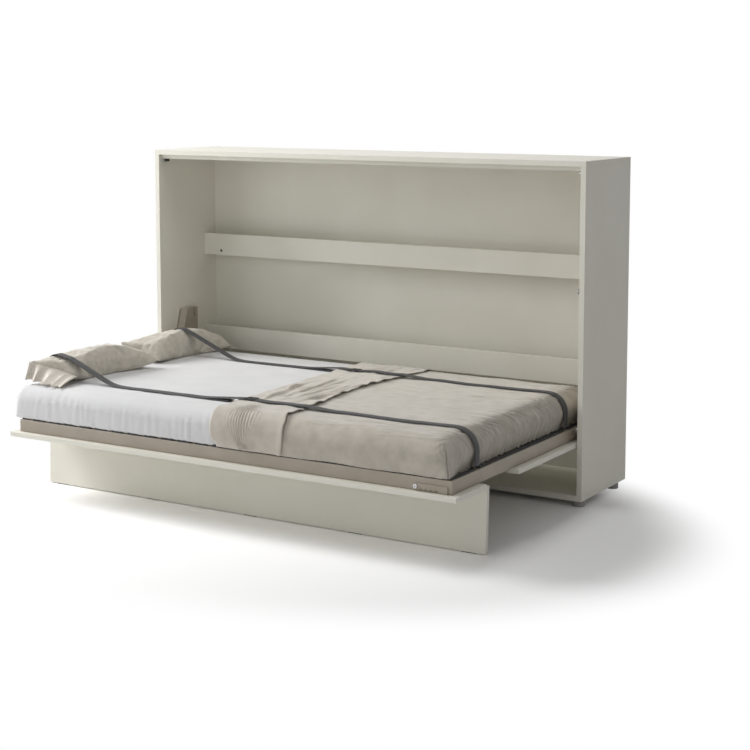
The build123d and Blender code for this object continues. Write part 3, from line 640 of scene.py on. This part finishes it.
def make_pillow(node, corners):
    """Pillow over the corners of its sewn edge: front right, front left, rear left and rear right.

    A corner's third value is its height above the mattress.
    """
    corners = np.array(corners)
    length = pillow_slack * (corners[2, 1] + corners[3, 1] - corners[0, 1] - corners[1, 1]) / 2
    bm = flat_cover(pillow_wide, length, pillow_pitch)
    flat = points_of(bm)
    piece = new_piece(node + "_velvet", bm, "pillow_velvet", MATERIALS["pillow_velvet"])
    points = blow_up(piece, 6.0, 24)
    low, high = points.min(axis=0), points.max(axis=0)
    side, back = ((points - low) / (high - low)).T[:2]
    puff = points[:, 2] / np.where(points[:, 2] > 0, high[2], -low[2])
    shares = np.stack([side * (1 - back), (1 - side) * (1 - back), (1 - side) * back, side * back], axis=1)
    x, y, sewn = (shares @ corners).T
    full = np.abs(puff) ** 0.8
    height = np.where(puff > 0, sewn + full * (pillow_crown - sewn), sewn * (1 - 1.5 * full))
    # Puckers along the sewn edges, deepest at the two ends, and a crushed pile
    from_end = length / 2 - np.abs(flat[:, 1])
    from_side = pillow_wide / 2 - np.abs(flat[:, 0])
    uneven = 0.3 * ripples(flat[:, 0], flat[:, 1], 0.12, 0.12, 31)
    pucker = 7 * MM * gathers(flat[:, 0], pucker_spacing, uneven) * np.exp(-from_end / 0.05)
    pucker += 4 * MM * gathers(flat[:, 1], pucker_spacing, uneven) * np.exp(-from_side / 0.03)
    pucker += 1.6 * MM * ripples(flat[:, 0], flat[:, 1], 0.11, 0.07, 32)
    pucker += 1.2 * MM * ripples(flat[:, 0], flat[:, 1], 0.035, 0.03, 33, 14)
    height += (pucker - 3 * MM) * rise(full, 0.0, 0.3) * (puff > 0)
    z = mattress_top + np.clip(height, pillow_gap, pillow_crown)
    filled = np.stack([x, y, z], axis=1)
    piece.data.vertices.foreach_set("co", filled.ravel())
    piece.data.update()
    finer = piece.modifiers.new("finer", "SUBSURF")
    finer.levels = finer.render_levels = 1
    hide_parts(node)
    ends = np.abs(from_end) < 1e-4
    seams = [filled[ends & (way * flat[:, 1] > 0)] for way in (-1, 1)]
    return [piece] + [seam[np.argsort(seam[:, 0])] for seam in seams]


def make_flange(name, pillow, seam, left, right):
    """Ruffled satin strip that falls from a pillow's sewn end to a lower edge between two places."""
    bm = bmesh.new()
    bmesh.ops.create_grid(bm, x_segments=80, y_segments=16, size=0.5)
    points = points_of(bm)
    side, hang = points[:, 0] + 0.5, points[:, 1] + 0.5
    number = np.linspace(0, 1, len(seam))
    sewn = np.stack([np.interp(side, number, seam[:, axis]) for axis in range(3)], axis=1)
    fallen = np.array(left) + side[:, None] * (np.array(right) - np.array(left))
    way = np.sign(fallen[0, 1] - seam[0, 1])
    ruffle = np.sin(2 * pi * (4.3 * side + 0.2 * np.sin(7 * side)))
    sink = hang[:, None] ** np.array([1.0, 0.8, 1.3])
    places = sewn + sink * (fallen - sewn)
    places[:, 0] += 0.008 * np.cos(2 * pi * 4.3 * side) * hang
    places[:, 1] += way * (0.014 * ruffle * hang - 0.003 * (1 - hang))
    places[:, 2] = np.maximum(places[:, 2] + 0.005 * ruffle * hang * (1 - hang), mattress_top + 3 * MM)
    put_points(bm, places)
    piece = new_piece(name, bm, "pillow_velvet", flange_satin)
    shell = piece.modifiers.new("thickness", "SOLIDIFY")
    shell.thickness = flange_thickness
    shell.offset = 0
    return piece


mattress = make_mattress()
blanket = make_blanket()
front_pillow, front_seam, _ = make_pillow("front_pillow", (
    (-0.848, -0.505, 0.026), (-1.030, -0.604, 0.086), (-1.030, -0.080, 0.050), (-0.798, -0.053, 0.026)))
rear_pillow, _, rear_seam = make_pillow("rear_pillow", (
    (-0.846, 0.016, 0.014), (-1.026, -0.035, 0.088), (-0.998, 0.468, 0.050), (-0.793, 0.474, 0.022)))
make_flange("front_pillow_flange", front_pillow, front_seam,
            (-1.03, -0.624, 0.462), (-0.816, -0.65, 0.447))
make_flange("rear_pillow_flange", rear_pillow, rear_seam,
            (-0.998, 0.5, 0.47), (-0.777, 0.497, 0.449))


# Straps that hold the bedding, each with a three-bar buckle

strap_width = 38 * MM
strap_thickness = 1.8 * MM
strap_ease = 2.5 * MM
tuck_level = 311.2 * MM
tuck_reach = 955 * MM
front_head_room = 1031 * MM    # from the middle, clear of the cabinet's side
rear_head_room = 1004 * MM     # clear of the mechanism cover
foot_turn = 60 * MM
buckle_x = 12 * MM
buckle_round = 1.2 * MM
tail_length = 340 * MM


def tree_of(piece):
    return BVHTree.FromObject(piece, bpy.context.evaluated_depsgraph_get())


def touch(trees, origin, way):
    """How far a strap moved straight along a way goes before it meets one of the pieces."""
    lanes = [Vector(origin) + Vector((0, lane * strap_width / 4, 0)) for lane in (-2, -1, 0, 1, 2)]
    hits = [tree.ray_cast(lane, Vector(way))[3] for tree in trees for lane in lanes]
    return min((hit for hit in hits if hit is not None), default=np.nan)


def drawn_tight(places, heights, slope):
    """Heights of a strap that lies on a profile but falls no steeper than a slope."""
    apart = np.abs(places[:, None] - places[None, :])
    return np.nanmax(heights[None, :] - slope * apart, axis=1)


def tops(trees, xs, y):
    """Highest place of the pieces under a strap's width, at each place along it."""
    return np.array([1 - touch(trees, (x, y, 1.0), (0, 0, -1)) for x in xs])


def smoothed(values, rounds):
    values = values.copy()
    for _ in range(rounds):
        values[1:-1] = (values[:-2] + 2 * values[1:-1] + values[2:]) / 4
    return values


def strap_path(pillow, y):
    """Line of a strap from its tuck at the head, over pillow and blanket, to its tuck at the foot."""
    bedding = [tree_of(mattress), tree_of(blanket)]
    cushion = [tree_of(pillow)]
    turn_x, turn_z = mattress_high[0] - foot_turn, mattress_top - foot_turn
    xs = np.arange(-1.02, turn_x, 10 * MM)
    lying = tops(bedding, xs, y)
    over = np.full_like(xs, np.nan)
    near = xs < -0.75
    over[near] = tops(cushion, xs[near], y)
    heights = np.fmax(drawn_tight(xs, lying, 0.085), drawn_tight(xs, over, 0.42))
    heights = np.maximum(smoothed(heights, 14), np.fmax(lying, over)) + strap_ease
    crest = np.nanargmax(heights)
    rungs = np.arange(0.318, heights[crest] - 20 * MM, 8 * MM)
    left = np.array([touch(bedding + cushion, (-1.2, y, z), (1, 0, 0)) - 1.2 for z in rungs])
    room = front_head_room if y < 0 else rear_head_room
    left = np.maximum(-drawn_tight(rungs, -left, 0.4) - strap_ease, -room)
    kept = xs > left[-1] + 8 * MM
    turns = [(sin(turn), cos(turn)) for turn in np.linspace(0.05, pi / 2, 14)]
    gaps = [0.3 - touch(bedding, (turn_x + 0.3 * a, y, turn_z + 0.3 * b), (-a, 0, -b)) + strap_ease
            for a, b in turns]
    corner = [(turn_x + gap * a, turn_z + gap * b) for gap, (a, b) in zip(gaps, turns)]
    falls = np.arange(turn_z - 8 * MM, 0.317, -8 * MM)
    right = np.array([1.2 - touch(bedding, (1.2, y, z), (-1, 0, 0)) for z in falls])
    right = drawn_tight(falls, right, 0.0) + strap_ease
    line = [(-tuck_reach, tuck_level), (left[0] + 12 * MM, tuck_level)]
    line += list(zip(left, rungs)) + list(zip(xs[kept], heights[kept])) + corner + list(zip(right, falls))
    line += [(right[-1], tuck_level), (tuck_reach, tuck_level)]
    return np.stack([smoothed(values, 2) for values in np.array(line).T], axis=1)


def ribbon(name, line, y, width):
    """Flat woven strip along a line in an upright plane, with its length and width kept as its UV map."""
    bm = bmesh.new()
    count = len(line)
    bmesh.ops.create_grid(bm, x_segments=count - 1, y_segments=3, size=0.5)
    gone = np.concatenate([[0], np.cumsum(np.hypot(*np.diff(line, axis=0).T))])
    woven = bm.loops.layers.uv.new("woven")
    for face in bm.faces:
        for loop in face.loops:
            number = round((loop.vert.co.x + 0.5) * (count - 1))
            loop[woven].uv = (gone[number], loop.vert.co.y * width)
    for vert in bm.verts:
        x, z = line[round((vert.co.x + 0.5) * (count - 1))]
        vert.co = (x, y + vert.co.y * width, z)
    piece = new_piece(name, bm, "webbing", MATERIALS["webbing"])
    shell = piece.modifiers.new("thickness", "SOLIDIFY")
    shell.thickness = strap_thickness
    shell.offset = 1
    return piece


def make_buckle(name, x, y, z):
    """Three-bar slider: two side rails and three cross bars with rounded edges."""
    bm = bmesh.new()
    length, width, bar, thick = 44 * MM, strap_width + 10 * MM, 5 * MM, 4 * MM
    bars = [(length, bar, 0, side * (width - bar) / 2) for side in (-1, 1)]
    bars += [(bar, width, place * (length - bar) / 2, 0) for place in (-1, 0, 1)]
    for bar_x, bar_y, shift_x, shift_y in bars:
        made = bmesh.ops.create_cube(bm, size=1.0)["verts"]
        bmesh.ops.scale(bm, vec=(bar_x, bar_y, thick), verts=made)
        bmesh.ops.translate(bm, vec=(x + shift_x, y + shift_y, z), verts=made)
    bmesh.ops.bevel(bm, geom=bm.edges[:], offset=buckle_round, segments=3, profile=0.5, affect="EDGES",
                    material=-1)
    return new_piece(name, bm, "black_plastic", MATERIALS["black_plastic"])


def make_strap(node, pillow):
    """Strap, its buckle, and the tail that runs back from the buckle under it."""
    low, high = [np.array(corner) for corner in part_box(node)]
    y = (low[1] + high[1]) / 2
    line = strap_path(pillow, y)
    strap = ribbon(node + "_webbing", line, y, strap_width)
    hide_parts(node)
    top = line[(line[:, 1] > 0.4)]
    at = np.interp(buckle_x, top[:, 0], top[:, 1])
    buckle = make_buckle(node + "_buckle", buckle_x, y, at + strap_thickness)
    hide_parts("strap_buckles")
    xs = np.arange(fold_place - tail_length, fold_place - 10 * MM, 8 * MM)
    tail = mattress_top + 1.5 * MM + 0.2 * (np.interp(xs, top[:, 0], top[:, 1]) - mattress_top)
    ribbon(node + "_tail", np.stack([xs, tail], axis=1), y - 3 * MM, strap_width)


make_strap("front_strap", front_pillow)
make_strap("rear_strap", rear_pillow)


# Stage: floor, light and camera

floor_reach = 9.0
floor_gain = 0.15              # extra brightness of the floor to the camera
shadow_middle = (0.2, -0.3, 0.0)
shadow_size = (1.5, 1.2, 1.0)
fade_from, fade_to = 0.82, 1.1  # floor fades to white past the shadow, in shadow sizes
world_strength = 0.24
camera_place = Vector((3.598, -5.4915, 1.673))
camera_azimuth = 31.21
camera_dip = 6.35
camera_lens_mm = 77.75
camera_shift = -0.15


def white_for_camera(tree):
    """One for rays that show the background: from the camera, off metal and through glass."""
    path = add(tree, "ShaderNodeLightPath", {})
    gloss = add(tree, "ShaderNodeMath", {0: path.outputs["Is Glossy Ray"],
                                         1: path.outputs["Is Transmission Ray"]}, operation="MAXIMUM")
    seen = add(tree, "ShaderNodeMath", {0: path.outputs["Is Camera Ray"], 1: gloss.outputs[0]},
               operation="MAXIMUM")
    return seen.outputs[0]


def make_world():
    world = bpy.data.worlds.new("studio")
    world.use_nodes = True
    tree = world.node_tree
    tree.nodes.clear()
    soft = add(tree, "ShaderNodeBackground", {"Color": linear("#FFFFFF"), "Strength": world_strength})
    white = add(tree, "ShaderNodeBackground", {"Color": linear("#FFFFFF"), "Strength": 1.0})
    mix = add(tree, "ShaderNodeMixShader", {0: white_for_camera(tree), 1: soft.outputs[0],
                                            2: white.outputs[0]})
    add(tree, "ShaderNodeOutputWorld", {"Surface": mix.outputs[0]})
    bpy.context.scene.world = world


def make_floor():
    made = bpy.data.materials.new("pale_floor")
    made.use_nodes = True
    tree = made.node_tree
    tree.nodes.clear()
    matt = add(tree, "ShaderNodeBsdfDiffuse", {"Color": linear("#F8F8F8")})
    extra = add(tree, "ShaderNodeBsdfDiffuse", {"Color": [floor_gain, floor_gain, floor_gain, 1.0]})
    near = add(tree, "ShaderNodeAddShader", {0: matt.outputs[0], 1: extra.outputs[0]})
    white = add(tree, "ShaderNodeEmission", {"Color": linear("#FFFFFF"), "Strength": 1.0})
    from_middle = add(tree, "ShaderNodeMapping", {"Vector": object_place(tree), "Location": shadow_middle,
                                                  "Scale": shadow_size}, vector_type="TEXTURE")
    apart = add(tree, "ShaderNodeVectorMath", {0: from_middle.outputs["Vector"]}, operation="LENGTH")
    fade = add(tree, "ShaderNodeMapRange", {"Value": apart.outputs["Value"], "From Min": fade_from,
                                            "From Max": fade_to}, interpolation_type="SMOOTHSTEP")
    seen = add(tree, "ShaderNodeMixShader", {0: fade.outputs["Result"], 1: near.outputs[0],
                                             2: white.outputs[0]})
    plain = add(tree, "ShaderNodeMixShader", {0: white_for_camera(tree), 1: matt.outputs[0],
                                              2: seen.outputs[0]})
    add(tree, "ShaderNodeOutputMaterial", {"Surface": plain.outputs[0]})
    bm = bmesh.new()
    bmesh.ops.create_grid(bm, x_segments=1, y_segments=1, size=floor_reach)
    mesh = bpy.data.meshes.new("floor")
    bm.to_mesh(mesh)
    bm.free()
    mesh.materials.append(made)
    floor = bpy.data.objects.new("floor", mesh)
    bpy.context.collection.objects.link(floor)


def softbox(name, place, target, size, power):
    """Square area light turned to a target."""
    lamp = bpy.data.lights.new(name, "AREA")
    lamp.shape = "SQUARE"
    lamp.size = size
    lamp.energy = power
    thing = bpy.data.objects.new(name, lamp)
    thing.location = place
    thing.rotation_euler = (Vector(target) - Vector(place)).to_track_quat("-Z", "Y").to_euler()
    bpy.context.collection.objects.link(thing)


def make_camera():
    lens = bpy.data.cameras.new("camera")
    lens.lens = camera_lens_mm
    lens.shift_y = camera_shift
    camera = bpy.data.objects.new("camera", lens)
    camera.location = camera_place
    camera.rotation_euler = (radians(90 - camera_dip), 0, radians(camera_azimuth))
    bpy.context.collection.objects.link(camera)
    bpy.context.scene.camera = camera


make_world()
make_floor()
softbox("left", (-4.6, -1.0, 3.1), (0.0, -0.3, 0.5), 2.4, 240)
softbox("near", (-2.5, -2.3, 1.5), (-0.3, -0.5, 0.4), 1.4, 9.5)
softbox("front", (0.6, -5.2, 2.2), (0.0, 0.0, 0.6), 3.0, 23)
softbox("above", (-0.2, -0.4, 4.0), (-0.2, -0.4, 0.4), 1.6, 34)
softbox("right", (4.6, -2.4, 1.9), (0.9, -0.2, 0.4), 2.4, 6)
make_camera()
bpy.context.scene.view_settings.view_transform = "Standard"
